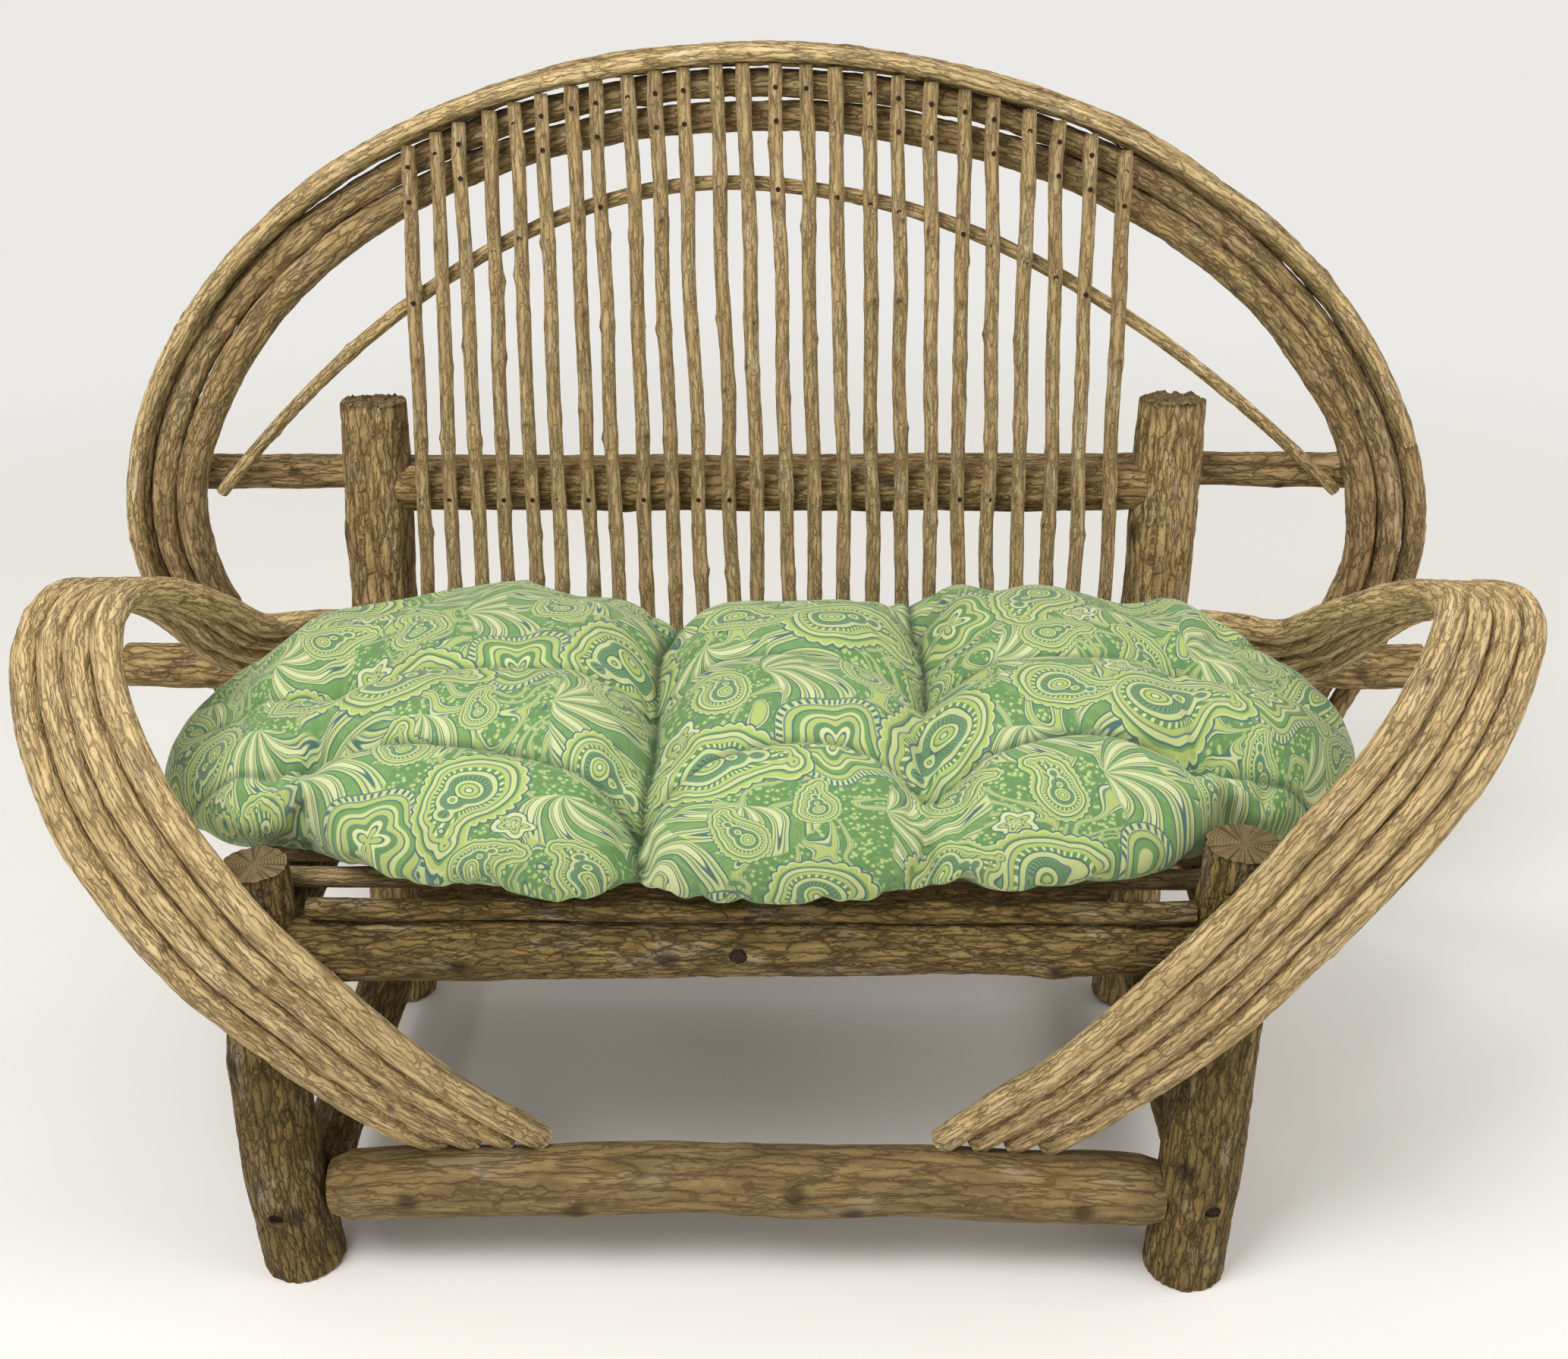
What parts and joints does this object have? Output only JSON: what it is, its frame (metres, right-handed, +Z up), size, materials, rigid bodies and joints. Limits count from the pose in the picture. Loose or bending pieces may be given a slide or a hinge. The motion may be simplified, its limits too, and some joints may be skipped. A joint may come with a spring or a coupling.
{
  "type": "adirondack loveseat",
  "caption": "Rustic two-seat settee of bark-on logs, with slats inside bent hoops, looped stick arms and a loose tufted seat cushion in green paisley",
  "frame": {"origin": "on the floor, under the middle of the outer box", "axes": "+X to the sitter's left as seen from behind, which is to the right of the picture, along the seat; +Y to the back; +Z up"},
  "size_m": [1.504, 0.6862, 1.072],
  "materials": {
    "log_bark": "matte bark on a round log",
    "hoop_bark": "matte dark bark on a bent stick",
    "arm_bark": "matte tan bark on a bent stick",
    "slat_bark": "matte, thin peeling bark",
    "paisley_cloth": "woven cotton, printed",
    "rusty_steel": "dark, rusty"
  },
  "bodies": {
    "frame": {"front_leg_left": "log_bark", "front_leg_right": "log_bark", "back_post_left": "log_bark", "back_post_right": "log_bark", "front_seat_rail": "log_bark", "rear_seat_rail": "log_bark", "side_seat_rail_left": "log_bark", "side_seat_rail_right": "log_bark", "middle_seat_rail": "log_bark", "front_stretcher": "log_bark", "side_stretcher_left": "log_bark", "side_stretcher_right": "log_bark", "rear_stretcher": "log_bark", "back_rail": "log_bark", "crossbar": "log_bark", "lower_back_rail": "log_bark", "seat_edge_stick": "slat_bark", "seat_sticks_under_cushion": "slat_bark", "hoop_front": "arm_bark", "hoop_outer": "hoop_bark", "hoop_middle": "hoop_bark", "hoop_inner": "hoop_bark", "inner_arch": "arm_bark", "arm_left_1": "arm_bark", "arm_left_2": "arm_bark", "arm_left_3": "arm_bark", "arm_left_4": "arm_bark", "arm_right_1": "arm_bark", "arm_right_2": "arm_bark", "arm_right_3": "arm_bark", "arm_right_4": "arm_bark", "slat_nails": "rusty_steel", "frame_bolts": "rusty_steel", "slat_01": "slat_bark", "slat_02": "slat_bark", "slat_03": "slat_bark", "slat_04": "slat_bark", "slat_05": "slat_bark", "slat_06": "slat_bark", "slat_07": "slat_bark", "slat_08": "slat_bark", "slat_09": "slat_bark", "slat_10": "slat_bark", "slat_11": "slat_bark", "slat_12": "slat_bark", "slat_13": "slat_bark", "slat_14": "slat_bark", "slat_15": "slat_bark", "slat_16": "slat_bark", "slat_17": "slat_bark", "slat_18": "slat_bark", "slat_19": "slat_bark", "slat_20": "slat_bark", "slat_21": "slat_bark", "slat_22": "slat_bark", "slat_23": "slat_bark", "slat_24": "slat_bark", "slat_25": "slat_bark"},
    "cushion": {"cushion": "paisley_cloth"}
  },
  "joints": [
    {"name": "cushion_lift", "type": "slide", "parent": "frame", "child": "cushion", "axis": [0, 0, 1], "range_m": [0, 0.3]}
  ]
}
